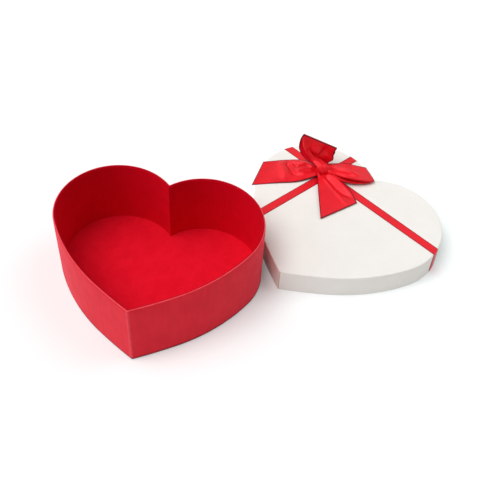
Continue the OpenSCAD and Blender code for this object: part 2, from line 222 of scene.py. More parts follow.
def new_piece(name, points, faces, body, finish, replaced, crisp, maps=None):
    """Makes a mesh object from points in millimetres, with the material of its finish, and puts it
    on a body of the frame in place of the CAD nodes in replaced."""
    mesh = bpy.data.meshes.new(name)
    mesh.from_pydata((np.asarray(points, float) * MM).tolist(), [], [list(f) for f in faces])
    mesh.update()
    for map_name, places in (maps or {}).items():
        layer = mesh.uv_layers.new(name=map_name)
        for loop in mesh.loops:
            layer.data[loop.index].uv = places[loop.vertex_index]
    for face in mesh.polygons:
        face.use_smooth = True
    mesh.set_sharp_from_angle(angle=math.radians(crisp))
    mesh.materials.append(MATERIALS[finish])
    piece = bpy.data.objects.new(name, mesh)
    bpy.context.scene.collection.objects.link(piece)
    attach(piece, body)
    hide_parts(*replaced)
    return piece


def faces_between(ring_size, a, b):
    """Faces between two rings of points, whose first points have the numbers a and b."""
    following = [(j, (j + 1) % ring_size) for j in range(ring_size)]
    return [(a + j, a + k, b + k, b + j) for j, k in following]


def ring_faces(ring_count, ring_size, closed):
    """Faces between rings of points that follow one another along a section."""
    faces = []
    last = ring_count if closed else ring_count - 1
    for i in range(last):
        faces += faces_between(ring_size, i * ring_size, (i + 1) % ring_count * ring_size)
    return faces


def sweep(section, point_r, cleft_r):
    """Rings of points round the heart for a section, whose rows are growth and level. point_r is
    the radius of the point where nothing is grown."""
    points = []
    for grow, level in section:
        ring = outline(grow, max(point_r + grow, INNER_POINT_R), cleft_r)
        points.append(np.column_stack([ring, np.full(len(ring), level)]))
    return np.concatenate(points), len(points[0])


def turned(points, deg):
    """Points turned about the upright axis."""
    points = np.asarray(points, float)
    turn = math.radians(deg)
    x = points[..., 0] * math.cos(turn) - points[..., 1] * math.sin(turn)
    y = points[..., 0] * math.sin(turn) + points[..., 1] * math.cos(turn)
    return np.stack([x, y, points[..., 2]], axis=-1)


def on_table(points):
    """Moves points from the lid's own frame to where the lid lies."""
    return turned(points, LID_TURN) + np.append(ray(LID_SIDE, LID_REACH), 0)


def sheet_solid(upper, lower):
    """Closed thin solid between two grids of points, and its faces."""
    rows, cols = upper.shape[:2]
    shift = rows * cols
    points = np.concatenate([upper.reshape(-1, 3), lower.reshape(-1, 3)])
    index = np.arange(shift).reshape(rows, cols)
    faces = []
    for i in range(rows - 1):
        for j in range(cols - 1):
            a, b = index[i, j], index[i, j + 1]
            d, c = index[i + 1, j], index[i + 1, j + 1]
            faces.append((a, d, c, b))
            faces.append((shift + a, shift + b, shift + c, shift + d))
    rim = list(index[0, :]) + list(index[1:, -1])
    rim += list(index[-1, -2::-1]) + list(index[-2:0:-1, 0])
    for k, a in enumerate(rim):
        b = rim[(k + 1) % len(rim)]
        faces.append((a, b, shift + b, shift + a))
    return points, faces


def unit(vectors):
    """Vectors of the same directions and of length 1."""
    return vectors / np.linalg.norm(vectors, axis=-1, keepdims=True)


def both_faces(middle, thickness):
    """Upper and lower grids of a sheet from the grid of its middle."""
    normal = unit(np.cross(np.gradient(middle, axis=0), np.gradient(middle, axis=1)))
    half = normal * (thickness / 2)
    return middle + half, middle - half


def ribbon_maps(middle, width, line_row=None, tucked=0.0):
    """Maps of a ribbon for both faces of its sheet, in millimetres: the place along and across it,
    and the distance from its selvedges and from the row of a cut end or of a folded tip.
    tucked is added where a selvedge is folded out of sight."""
    centre = middle[:, middle.shape[1] // 2]
    steps = np.linalg.norm(np.diff(centre, axis=0), axis=1)
    along = np.concatenate([[0], np.cumsum(steps)])
    across = np.linspace(-width / 2, width / 2, middle.shape[1])
    grid = np.stack(np.meshgrid(along, across, indexing="ij"), axis=-1)
    edge = width / 2 - np.abs(grid[..., 1]) + tucked
    if line_row is not None:
        edge = np.minimum(edge, np.abs(grid[..., 0] - along[line_row]))
    grid = grid.reshape(-1, 2)
    edge = np.column_stack([edge.ravel(), edge.ravel()])
    return {"ribbon": np.concatenate([grid, grid]), "edge": np.concatenate([edge, edge])}


# Materials

def new_group(name, inputs, outputs):
    """Empty node group with named inputs and outputs."""
    group = bpy.data.node_groups.new(name, "ShaderNodeTree")
    kinds = {"colour": "NodeSocketColor", "value": "NodeSocketFloat"}
    for label, kind, value in inputs:
        socket = group.interface.new_socket(label, in_out="INPUT", socket_type=kinds[kind])
        socket.default_value = value
    for label, kind in outputs:
        group.interface.new_socket(label, in_out="OUTPUT", socket_type=kinds[kind])
    start = group.nodes.new("NodeGroupInput")
    end = group.nodes.new("NodeGroupOutput")
    return group, start, end


def add_noise(tree, vector, scale, detail, rough, stretch=(1, 1, 1)):
    """Noise over a vector of places. scale is in waves per unit of the vector."""
    mapping = tree.nodes.new("ShaderNodeMapping")
    mapping.inputs["Scale"].default_value = stretch
    noise = tree.nodes.new("ShaderNodeTexNoise")
    noise.inputs["Detail"].default_value = detail
    noise.inputs["Roughness"].default_value = rough
    tree.links.new(vector, mapping.inputs["Vector"])
    tree.links.new(mapping.outputs["Vector"], noise.inputs["Vector"])
    if isinstance(scale, (int, float)):
        noise.inputs["Scale"].default_value = scale
    else:
        tree.links.new(scale, noise.inputs["Scale"])
    return noise.outputs["Fac"]


def add_math(tree, operation, a, b=None):
    """Sum, product or the like of values, which are numbers or sockets."""
    node = tree.nodes.new("ShaderNodeMath")
    node.operation = operation
    for socket, value in zip(node.inputs, (a, b)):
        if value is None:
            continue
        if isinstance(value, (int, float)):
            socket.default_value = value
        else:
            tree.links.new(value, socket)
    return node.outputs[0]


def add_range(tree, value, from_low, from_high, to_low=0.0, to_high=1.0):
    """Smooth step of a value from one range to another."""
    node = tree.nodes.new("ShaderNodeMapRange")
    node.interpolation_type = "SMOOTHSTEP"
    tree.links.new(value, node.inputs["Value"])
    for label, number in zip(("From Min", "From Max", "To Min", "To Max"),
                             (from_low, from_high, to_low, to_high)):
        if isinstance(number, (int, float)):
            node.inputs[label].default_value = number
        else:
            tree.links.new(number, node.inputs[label])
    return node.outputs["Result"]


# Numbers of a Mix node's sockets for colours
MIX_SHARE = 0
MIX_FIRST = 6
MIX_SECOND = 7
MIX_RESULT = 2


def add_mix(tree, share, a, b):
    """Colour between a and b, by a share of b."""
    node = tree.nodes.new("ShaderNodeMix")
    node.data_type = "RGBA"
    for number, value in ((MIX_SHARE, share), (MIX_FIRST, a), (MIX_SECOND, b)):
        if isinstance(value, tuple):
            node.inputs[number].default_value = value
        else:
            tree.links.new(value, node.inputs[number])
    return node.outputs[MIX_RESULT]


def add_split(tree, vector):
    """Outputs X, Y and Z of a vector."""
    node = tree.nodes.new("ShaderNodeSeparateXYZ")
    tree.links.new(vector, node.inputs[0])
    return node.outputs


def add_uv(tree, map_name):
    """Places of a piece's own map."""
    node = tree.nodes.new("ShaderNodeUVMap")
    node.uv_map = map_name
    return node.outputs["UV"]


# Noises of the papers, in waves per metre
SUEDE_GRAIN = 900
SUEDE_STROKES = 230
EDGE_PATCHES = 160
PAPER_CLOUDS = 35

# Edge marks of the suede, each as two lengths between which they begin or end: below the rim's top,
# beside the fold of the point, in front of the heart's middle, and above the table. Along the rim
# and the point the mark is rubbed wear and a painted highlight on the outside, and painted shade on
# the inner wall; along the foot it is a painted contact shadow.
RIM_WEAR_AND_PAINTED_LIGHT = (0.7, 0.2)
POINT_WEAR_AND_PAINTED_LIGHT = (0.4, 2.4)
POINT_FRONT = (60, 50)
FOOT_PAINTED_SHADOW = (1.8, 3.6)


def suede_nap_group():
    """Brushed nap of suede paper: soft blotches, upright brush strokes, fine grain and a height for
    its bump. Its wear strength paints the rim and the point with rubbed wear and a painted
    highlight, or with painted shade where that colour is dark, and paints a contact shadow along the
    foot."""
    group, start, end = new_group(
        "suede_nap",
        [("Colour", "colour", (0.7, 0.01, 0.03, 1)),
         ("Brushed Colour", "colour", (0.5, 0, 0.02, 1)),
         ("Blotches", "value", 60),
         ("Blotch Strength", "value", 0.5),
         ("Stroke Strength", "value", 0.16),
         ("Wear And Painted Light Colour", "colour", (0.86, 0.1, 0.125, 1)),
         ("Foot Shadow Colour", "colour", (0.12, 0.003, 0.009, 1)),
         ("Wear And Painted Light", "value", 0.0)],
        [("Colour", "colour"), ("Roughness", "value"), ("Height", "value")])
    brushed = start.outputs["Brushed Colour"]
    wear_and_light = start.outputs["Wear And Painted Light"]
    where = group.nodes.new("ShaderNodeTexCoord").outputs["Object"]
    blotch = add_noise(group, where, start.outputs["Blotches"], detail=4, rough=0.62)
    blotch = add_range(group, blotch, 0.38, 0.66)
    grain = add_noise(group, where, scale=SUEDE_GRAIN, detail=3, rough=0.7)
    upright = (1, 1, 0.12)
    strokes = add_noise(group, where, scale=SUEDE_STROKES, detail=2, rough=0.5, stretch=upright)
    share = add_math(group, "MULTIPLY", blotch, start.outputs["Blotch Strength"])
    colour = add_mix(group, share, start.outputs["Colour"], brushed)
    fleck = add_range(group, grain, 0.45, 0.75, 0, 0.22)
    colour = add_mix(group, fleck, colour, brushed)
    stroke = add_range(group, strokes, 0.42, 0.66)
    stroke = add_math(group, "MULTIPLY", stroke, start.outputs["Stroke Strength"])
    colour = add_mix(group, stroke, colour, brushed)

    place = add_split(group, where)
    # Rim and point: rubbed wear and a painted highlight in the outside suede, painted shade in the
    # wall suede
    rim = add_range(group, place["Z"], *[(BOX_H - length) * MM for length in RIM_WEAR_AND_PAINTED_LIGHT])
    beside = add_math(group, "ABSOLUTE", place["X"])
    beside = add_range(group, beside, *[length * MM for length in POINT_WEAR_AND_PAINTED_LIGHT], 0.6, 0)
    in_front = add_range(group, place["Y"], *[-length * MM for length in POINT_FRONT], 1, 0)
    point = add_math(group, "MULTIPLY", beside, in_front)
    patchy = add_noise(group, where, scale=EDGE_PATCHES, detail=3, rough=0.6)
    patchy = add_range(group, patchy, 0.3, 0.6, 0.55, 1)
    worn_and_lit = add_math(group, "MULTIPLY", add_math(group, "MAXIMUM", rim, point), patchy)
    worn_and_lit = add_math(group, "MULTIPLY", worn_and_lit, wear_and_light)
    colour = add_mix(group, worn_and_lit, colour, start.outputs["Wear And Painted Light Colour"])
    # Painted contact shadow along the foot, darker towards the table
    foot = add_range(group, place["Z"], *[length * MM for length in FOOT_PAINTED_SHADOW], 1, 0)
    foot = add_math(group, "MULTIPLY", foot, wear_and_light)
    colour = add_mix(group, foot, colour, start.outputs["Foot Shadow Colour"])

    height = add_math(group, "ADD", grain, add_math(group, "MULTIPLY", strokes, 0.6))
    group.links.new(colour, end.inputs["Colour"])
    group.links.new(add_range(group, blotch, 0, 1, 0.82, 0.95), end.inputs["Roughness"])
    group.links.new(height, end.inputs["Height"])
    return group


def paper_fibre_group():
    """Pulp of paper and board: cloudy tone, short fibres and fine tooth."""
    group, start, end = new_group(
        "paper_fibre",
        [("Colour", "colour", (0.87, 0.855, 0.81, 1)),
         ("Fibre Colour", "colour", (0.8, 0.77, 0.7, 1)),
         ("Fibre Strength", "value", 0.4),
         ("Fibres", "value", 500)],
        [("Colour", "colour"), ("Roughness", "value"), ("Height", "value")])
    where = group.nodes.new("ShaderNodeTexCoord").outputs["Object"]
    lengthwise = (1, 0.35, 1)
    fibre = add_noise(group, where, start.outputs["Fibres"], detail=4, rough=0.7, stretch=lengthwise)
    fleck = add_range(group, fibre, 0.52, 0.72)
    fleck = add_math(group, "MULTIPLY", fleck, start.outputs["Fibre Strength"])
    colour = add_mix(group, fleck, start.outputs["Colour"], start.outputs["Fibre Colour"])
    cloud = add_noise(group, where, scale=PAPER_CLOUDS, detail=4, rough=0.6)
    cloud = add_range(group, cloud, 0.35, 0.7, 0, 0.18)
    colour = add_mix(group, cloud, colour, start.outputs["Fibre Colour"])
    group.links.new(colour, end.inputs["Colour"])
    group.links.new(add_range(group, fibre, 0.3, 0.7, 0.55, 0.75), end.inputs["Roughness"])
    group.links.new(fibre, end.inputs["Height"])
    return group


def satin_floats_group():
    """Warp floats of satin along the ribbon, faint wear, and the woven selvedge at each side,
    darkened as painted edge shade; the same dark stripe runs along the fold of a loop's tip and a
    tail's cut end as painted shade. The map "ribbon" gives the place on the ribbon and the map
    "edge" the distance from its edge, both in millimetres."""
    group, start, end = new_group(
        "satin_floats",
        [("Colour", "colour", (0.6, 0.006, 0.02, 1)),
         ("Selvedge And Edge Shade Colour", "colour", (0.2, 0, 0.02, 1)),
         ("Edge Stripe Width", "value", 0.7)],
        [("Colour", "colour"), ("Roughness", "value"), ("Height", "value")])
    dark_tone = start.outputs["Selvedge And Edge Shade Colour"]
    where = add_uv(group, "ribbon")
    to_edge = add_split(group, add_uv(group, "edge"))["X"]
    floats = add_noise(group, where, scale=1, detail=3, rough=0.6, stretch=(0.12, 3.2, 1))
    cloud = add_noise(group, where, scale=1, detail=2, rough=0.5, stretch=(0.05, 0.11, 1))
    edge_fade_start = add_math(group, "MULTIPLY", start.outputs["Edge Stripe Width"], 0.5)
    edge = add_range(group, to_edge, edge_fade_start, start.outputs["Edge Stripe Width"], 1, 0)
    streak = add_range(group, floats, 0.4, 0.75, 0, 0.14)
    colour = add_mix(group, streak, start.outputs["Colour"], dark_tone)
    colour = add_mix(group, add_range(group, cloud, 0.35, 0.7, 0, 0.12), colour, dark_tone)
    # Dark stripe along the selvedges, a loop's folded tip and a tail's cut end: the woven edge,
    # darkened as painted edge shade
    colour = add_mix(group, edge, colour, dark_tone)
    rough = add_range(group, floats, 0.3, 0.7, 0.3, 0.4)
    rough = add_math(group, "ADD", rough, add_math(group, "MULTIPLY", edge, 0.25))
    height = add_math(group, "ADD", add_math(group, "MULTIPLY", floats, 0.4), edge)
    group.links.new(colour, end.inputs["Colour"])
    group.links.new(rough, end.inputs["Roughness"])
    group.links.new(height, end.inputs["Height"])
    return group


def new_material(name, group, values, relief, constants):
    """Material of one node group, a bump from its height, and a Principled shader. relief is the
    strength and the depth of the bump."""
    material = bpy.data.materials.new(name)
    material.use_nodes = True
    tree = material.node_tree
    shader = tree.nodes["Principled BSDF"]
    surface = tree.nodes.new("ShaderNodeGroup")
    surface.node_tree = group
    for label, value in values.items():
        surface.inputs[label].default_value = value
    tree.links.new(surface.outputs["Colour"], shader.inputs["Base Color"])
    tree.links.new(surface.outputs["Roughness"], shader.inputs["Roughness"])
    strength, depth = relief
    bumps = tree.nodes.new("ShaderNodeBump")
    bumps.inputs["Strength"].default_value = strength
    bumps.inputs["Distance"].default_value = depth * MM
    tree.links.new(surface.outputs["Height"], bumps.inputs["Height"])
    tree.links.new(bumps.outputs["Normal"], shader.inputs["Normal"])
    for label, value in constants.items():
        shader.inputs[label].default_value = value
    return material


def run_gloss_along_ribbon(material):
    """Turns the shader's grain so that its gloss follows the ribbon."""
    tree = material.node_tree
    tangent = tree.nodes.new("ShaderNodeTangent")
    tangent.direction_type = "UV_MAP"
    tangent.uv_map = "ribbon"
    tree.links.new(tangent.outputs["Tangent"], tree.nodes["Principled BSDF"].inputs["Tangent"])


SUEDE = suede_nap_group()
FIBRE = paper_fibre_group()
SATIN = satin_floats_group()

NAP_OUTSIDE = {"Sheen Weight": 0.22, "Sheen Roughness": 0.5, "Sheen Tint": (1, 0.45, 0.52, 1),
               "Specular IOR Level": 0.06}
NAP_INSIDE = {"Sheen Weight": 0.02, "Sheen Roughness": 0.5, "Sheen Tint": (1, 0.3, 0.35, 1),
              "Specular IOR Level": 0.04}
NAP_WALL = {"Sheen Weight": 0.02, "Sheen Roughness": 0.5, "Sheen Tint": (1, 0.2, 0.25, 1),
            "Specular IOR Level": 0.03}
PAPER_GLOSS = {"Specular IOR Level": 0.3}
BOARD_GLOSS = {"Specular IOR Level": 0.2}
SATIN_GLOSS = {"IOR": 1.72, "Specular IOR Level": 0.9, "Specular Tint": (1, 0.12, 0.15, 1),
               "Anisotropic": 0.85, "Anisotropic Rotation": 0.25}
SATIN_REVERSE_GLOSS = {"Specular IOR Level": 0.2, "Specular Tint": (1, 0.2, 0.25, 1)}
SUEDE_RELIEF = (0.35, 0.15)
SATIN_RELIEF = (0.25, 0.05)

# Each finish has its node group, the group's values, the strength and the depth in millimetres of
# its bump, and the shader's own constants.
FINISHES = {
    # Its wear strength paints the rim and the point lighter, as rubbed wear and a painted highlight,
    # and the foot darker, as a painted contact shadow
    "red_suede_outside": (
        SUEDE,
        {"Colour": (0.74, 0.012, 0.028, 1), "Brushed Colour": (0.60, 0.007, 0.019, 1),
         "Blotches": 45, "Blotch Strength": 0.3, "Stroke Strength": 0.34, "Wear And Painted Light": 0.75},
        SUEDE_RELIEF, NAP_OUTSIDE),
    "red_suede_inside": (
        SUEDE,
        {"Colour": (0.75, 0.006, 0.022, 1), "Brushed Colour": (0.58, 0.002, 0.012, 1),
         "Blotches": 75, "Blotch Strength": 0.28},
        SUEDE_RELIEF, NAP_INSIDE),
    # Darker copy of the suede as painted shade on the inner walls, the inner half of the rim and the
    # turned-in band; its dark wear colour paints more shade along the rim's crest and beside the
    # point
    "red_suede_wall_painted_shade": (
        SUEDE,
        {"Colour": (0.68, 0.002, 0.016, 1), "Brushed Colour": (0.57, 0.001, 0.009, 1),
         "Blotches": 60, "Blotch Strength": 0.3, "Wear And Painted Light Colour": (0.24, 0.001, 0.008, 1),
         "Foot Shadow Colour": (0.57, 0.001, 0.009, 1), "Wear And Painted Light": 0.8},
        SUEDE_RELIEF, NAP_WALL),
    "red_backing_paper": (
        FIBRE,
        {"Colour": (0.42, 0.01, 0.025, 1), "Fibre Colour": (0.3, 0.006, 0.016, 1),
         "Fibre Strength": 0.5, "Fibres": 700},
        (0.2, 0.08), PAPER_GLOSS),
    "grey_board": (
        FIBRE,
        {"Colour": (0.42, 0.38, 0.32, 1), "Fibre Colour": (0.22, 0.19, 0.15, 1),
         "Fibre Strength": 0.7, "Fibres": 420},
        (0.4, 0.15), BOARD_GLOSS),
    "paper_tape": (
        FIBRE,
        {"Colour": (0.55, 0.42, 0.26, 1), "Fibre Colour": (0.42, 0.3, 0.17, 1),
         "Fibre Strength": 0.6, "Fibres": 600},
        (0.25, 0.08), PAPER_GLOSS),
    "white_paper": (
        FIBRE,
        {"Colour": (0.86, 0.84, 0.80, 1), "Fibre Colour": (0.76, 0.73, 0.68, 1),
         "Fibre Strength": 0.22, "Fibres": 550},
        (0.12, 0.06), PAPER_GLOSS),
    "satin_band": (
        SATIN,
        {"Colour": (0.73, 0.006, 0.014, 1), "Selvedge And Edge Shade Colour": (0.16, 0.001, 0.008, 1),
         "Edge Stripe Width": 1.0},
        SATIN_RELIEF, SATIN_GLOSS),
    "satin_bow": (
        SATIN,
        {"Colour": (0.77, 0.006, 0.014, 1), "Selvedge And Edge Shade Colour": (0.13, 0.001, 0.008, 1),
         "Edge Stripe Width": 1.5},
        SATIN_RELIEF, SATIN_GLOSS),
    # Duller reverse of the satin, darker than the face as painted shade inside the loops
    "satin_reverse_painted_shade": (
        SATIN,
        {"Colour": (0.66, 0.003, 0.013, 1), "Selvedge And Edge Shade Colour": (0.13, 0.001, 0.008, 1),
         "Edge Stripe Width": 1.5},
        SATIN_RELIEF, SATIN_REVERSE_GLOSS),
}
MATERIALS = {name: new_material(name, *finish) for name, finish in FINISHES.items()}
for satin in ("satin_band", "satin_bow", "satin_reverse_painted_shade"):
    run_gloss_along_ribbon(MATERIALS[satin])

CAD_MATERIALS = {
    "base_wall_board_left": "grey_board",
    "base_wall_board_right": "grey_board",
    "base_stay_tape_cleft": "paper_tape",
    "base_stay_tape_point": "paper_tape",
    "base_floor_board": "grey_board",
    "base_wall_wrap": "red_suede_outside",
    "base_wall_lining": "red_suede_wall_painted_shade",
    "base_floor_lining": "red_suede_inside",
    "base_underside_paper": "red_backing_paper",
    "lid_top_board": "grey_board",
    "lid_rim_board_left": "grey_board",
    "lid_rim_board_right": "grey_board",
    "lid_stay_tape_cleft": "paper_tape",
    "lid_stay_tape_point": "paper_tape",
    "lid_rim_wrap": "white_paper",
    "lid_top_paper": "white_paper",
    "lid_top_lining": "white_paper",
    "lid_rim_lining": "white_paper",
    "ribbon_band_across": "satin_band",
    "ribbon_band_along": "satin_band",
    "bow_knot": "satin_bow",
    "bow_loop_upright": "satin_bow",
    "bow_loop_right": "satin_bow",
    "bow_tail_left": "satin_bow",
    "bow_tail_right": "satin_bow",
}
for node_name, material_name in CAD_MATERIALS.items():
    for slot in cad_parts[node_name].material_slots:
        slot.material = MATERIALS[material_name]


# Box

def make_wall_wrap():
    """Suede paper from under the box up its outside, over the rim and down its inside, and back
    along the board. From the crest of the rim inwards it takes the darker wall material, as painted
    shade."""
    half = -BOX_IN / 2
    section = [(-TURN_UNDER, UNDER_T), (-TURN_UNDER / 2, UNDER_T)]
    section += corner_arc((-FOOT_R, UNDER_T + FOOT_R), FOOT_R, -90, 0, FOOT_POINTS)
    section += [(0, level) for level in np.linspace(WALL_STEP, BOX_H - WALL_STEP, WALL_ROWS)]
    for turn in np.radians(np.linspace(0, 180, RIM_STEPS + 1)):
        section.append((half * math.cos(turn) - half, BOX_H - RIM_R + RIM_R * math.sin(turn)))
    crest = len(section) - 1 - RIM_STEPS // 2
    section += [(BOX_IN, level) for level in (BOX_H - WALL_STEP, TURN_IN_MIDDLE, TURN_IN_Z)]
    turn_in_end = len(section) - 1
    section += [
        (BOARD_IN, TURN_IN_Z),
        (BOARD_IN, BOX_H - BOARD_SIDE_DROP),
        ((BOARD_IN + BOARD_OUT) / 2, BOX_H - BOARD_TOP_DROP),
        (BOARD_OUT, BOX_H - BOARD_SIDE_DROP),
        (BOARD_OUT, WALL_MIDDLE),
        (BOARD_OUT, UNDER_T + SUEDE_T),
        (-TURN_UNDER, UNDER_T + SUEDE_T),
    ]
    points, size = sweep(section, POINT_R, CLEFT_R)
    faces = ring_faces(len(section), size, closed=True)
    wrap = new_piece("suede_wall_wrap", points, faces, "box", "red_suede_outside",
                     ["base_wall_wrap"], PAPER_CRISP)
    wrap.data.materials.append(MATERIALS["red_suede_wall_painted_shade"])
    # Painted shade: the inner half of the rim and the turned-in band take the darker wall material
    for face in wrap.data.polygons[crest * size:turn_in_end * size]:
        face.material_index = 1


# Lid

def make_rim_wrap():
    """White paper round the lid's rim, turned in under its lower edge."""
    section = [(RIM_BOARD_IN, LID_TURN_IN), (LID_IN, LID_TURN_IN), (LID_IN, LID_TURN_IN_MIDDLE)]
    section += corner_arc((LID_IN + LID_FOOT_R, LID_FOOT_R), LID_FOOT_R, 180, 270, FOOT_POINTS)
    section += corner_arc((LID_OUT - LID_FOOT_R, LID_FOOT_R), LID_FOOT_R, -90, 0, FOOT_POINTS)
    section += [(LID_OUT, level) for level in (*LID_RIM_LEVELS, PAPER_SEAM_Z)]
    section += [(RIM_BOARD_OUT, PAPER_SEAM_Z), (RIM_BOARD_OUT, WHITE_T), (RIM_BOARD_IN, WHITE_T)]
    points, size = sweep(section, LID_POINT_R, LID_CLEFT_R)
    faces = ring_faces(len(section), size, closed=True)
    new_piece("white_rim_wrap", on_table(points), faces, "lid", "white_paper",
              ["lid_rim_wrap"], PAPER_CRISP)


def make_top_paper():
    """White paper over the lid's top and round its edge, with its underside on the board."""
    upper = [(LID_OUT, PAPER_SEAM_Z)]
    upper += corner_arc((LID_OUT - LID_EDGE_R, LID_H - LID_EDGE_R), LID_EDGE_R, 0, 90, EDGE_POINTS)
    upper += [(LID_OUT - PAPER_FLAT_FROM, LID_H)]
    board_z = LID_H - WHITE_T
    under = [
        (LID_OUT - PAPER_FLAT_FROM, board_z),
        (RIM_BOARD_OUT - PAPER_CORNER_IN, board_z),
        (RIM_BOARD_OUT, board_z - PAPER_CORNER_DOWN),
        (RIM_BOARD_OUT, PAPER_SEAM_Z),
    ]
    points, size = sweep(upper + under, LID_POINT_R, LID_CLEFT_R)
    top = (len(upper) - 1) * size
    bottom = len(upper) * size
    last = len(points) - size
    faces = ring_faces(len(upper), size, closed=False)
    for first in range(bottom, last, size):
        faces += faces_between(size, first, first + size)
    faces += faces_between(size, last, 0)
    faces.append([top + j for j in range(size)])
    faces.append([bottom + j for j in reversed(range(size))])
    new_piece("white_top_paper", on_table(points), faces, "lid", "white_paper",
              ["lid_top_paper"], PAPER_CRISP)


# Ribbon bands

def ease(t):
    """Smooth step from 0 to 1, while t goes from 0 to 1."""
    t = np.clip(t, 0, 1)
    return t * t * (3 - 2 * t)


def band_grid(deg, lift):
    """Grids of both faces of a band that runs over the lid and down its rim at both ends.
    lift gives how far the band stands off the lid's top at a distance from the crossing."""
    edge_c = (LID_OUT - LID_EDGE_R, LID_H - LID_EDGE_R)
    rim_levels = np.linspace(BAND_FOOT, edge_c[1], BAND_RIM_ROWS)
    grids = []
    for thick in (BAND_T, BAND_GLUE):
        section = [(LID_OUT + thick, level) for level in rim_levels]
        section += corner_arc(edge_c, LID_EDGE_R + thick, 0, 90, EDGE_POINTS)[1:]
        columns = []
        for v in np.linspace(-BAND_W / 2, BAND_W / 2, BAND_COLUMNS):
            start = CROSSING + ray(deg + 90, v)
            up = [(-reach(start, deg + 180, grow), level) for grow, level in section]
            down = [(reach(start, deg, grow), level) for grow, level in reversed(section)]
            over = np.linspace(up[-1][0], down[0][0], BAND_ROWS)[1:-1]
            places = up + [(d, LID_H + thick + lift(d)) for d in over] + down
            columns.append([np.append(start + ray(deg, d), level) for d, level in places])
        grids.append(np.array(columns).transpose(1, 0, 2))
    return grids


def make_bands():
    """The band across lies flat on the lid, and the band along passes over it where they cross."""
    def flat(d):
        """No rise at any distance from the crossing."""
        return 0.0

    def over_other(d):
        """Rise over the other band, which falls to nothing beside it."""
        return (BAND_T + BAND_GAP) * float(1 - ease((abs(d) - BAND_W / 2) / BAND_RAMP))

    for name, deg, lift, node in (
            ("satin_band_across", ACROSS, flat, "ribbon_band_across"),
            ("satin_band_along", ALONG, over_other, "ribbon_band_along")):
        upper, lower = band_grid(deg, lift)
        points, faces = sheet_solid(on_table(upper), on_table(lower))
        new_piece(name, points, faces, "lid", "satin_band", [node], SATIN_CRISP,
                  maps=ribbon_maps(upper, BAND_W))


# Bow

def at_knot(deg, points):
    """Moves points from a ribbon's own frame, which starts in the knot's middle, to the lid."""
    return on_table(turned(points, deg) + np.append(KNOT, LID_H))


def bump(x):
    """Rounded hill of height 1 at 0."""
    return np.exp(-x * x)


def fan(root_w, full_w, t):
    """Width of a ribbon that fans out from the knot."""
    return root_w + (full_w - root_w) * np.sin(np.pi / 2 * np.clip(t, 0, 1))


def pleats(t, v, high, count, far, phase=0.0):
    """Gathers that fan out of the knot and fade into the open ribbon."""
    wave = np.cos(np.pi * (count * v + phase) + 1.3 * np.sin(2.1 * v + phase))
    return high * (1 - ease(t / far)) * wave


def rounded_line(line):
    """Line through corners with the corners rounded off."""
    line = np.array(line, float)
    for _ in range(CORNER_CUTS):
        first, second = line[:-1], line[1:]
        cut = np.stack([first * 0.75 + second * 0.25, first * 0.25 + second * 0.75], axis=1)
        line = np.concatenate([line[:1], cut.reshape(-1, line.shape[1]), line[-1:]])
    return line


def near_line(x, y, line):
    """Distance of points on the flat ribbon from a line, and the share of its length there."""
    line = rounded_line(line)
    steps = np.diff(line, axis=0)
    lengths = np.linalg.norm(steps, axis=1)
    nearest = np.full(np.shape(x), np.inf)
    place = np.zeros(np.shape(x))
    for i, (dx, dy) in enumerate(steps):
        ax, ay = line[i]
        along = np.clip(((x - ax) * dx + (y - ay) * dy) / lengths[i] ** 2, 0, 1)
        distance = np.hypot(x - ax - along * dx, y - ay - along * dy)
        share = (lengths[:i].sum() + along * lengths[i]) / lengths.sum()
        place = np.where(distance < nearest, share, place)
        nearest = np.minimum(nearest, distance)
    return nearest, place


def creases(x, y, lines):
    """Height of the soft ridges and valleys of a ribbon. Each has its line, its height and its
    width, and fades at both ends."""
    total = 0 * x
    for line, high, wide in lines:
        distance, place = near_line(x, y, line)
        total = total + high * bump(distance / wide) * ease(place / 0.2) * ease((1 - place) / 0.35)
    return total


def rolled(v, roll):
    """Place across a ribbon whose one side is rolled under, and depth below its open face. roll is
    the place of the fold, its depth and its softness."""
    if roll is None:
        return v, 0 * v
    at, deep, soft = roll
    slope = np.hypot(v - at, soft)
    return at + slope - soft, deep * (1 - (v - at) / slope)


def ribbon_axes(rows):
    """Grids of the share along a ribbon, from 0 to 1, and of the place across it, from -1 to 1."""
    return np.meshgrid(np.linspace(0, 1, rows), np.linspace(-1, 1, RIBBON_COLUMNS), indexing="ij")


def curve_grid(guide, t):
    """Points of a curve with four guide points, and its directions there."""
    guide = np.array(guide, float)
    k = t[..., None]
    path = guide[0] * (1 - k) ** 3 + 3 * guide[1] * k * (1 - k) ** 2
    path = path + 3 * guide[2] * k * k * (1 - k) + guide[3] * k ** 3
    slope = (guide[1] - guide[0]) * (1 - k) ** 2 + 2 * (guide[2] - guide[1]) * k * (1 - k)
    return path, unit(slope + (guide[3] - guide[2]) * k * k)


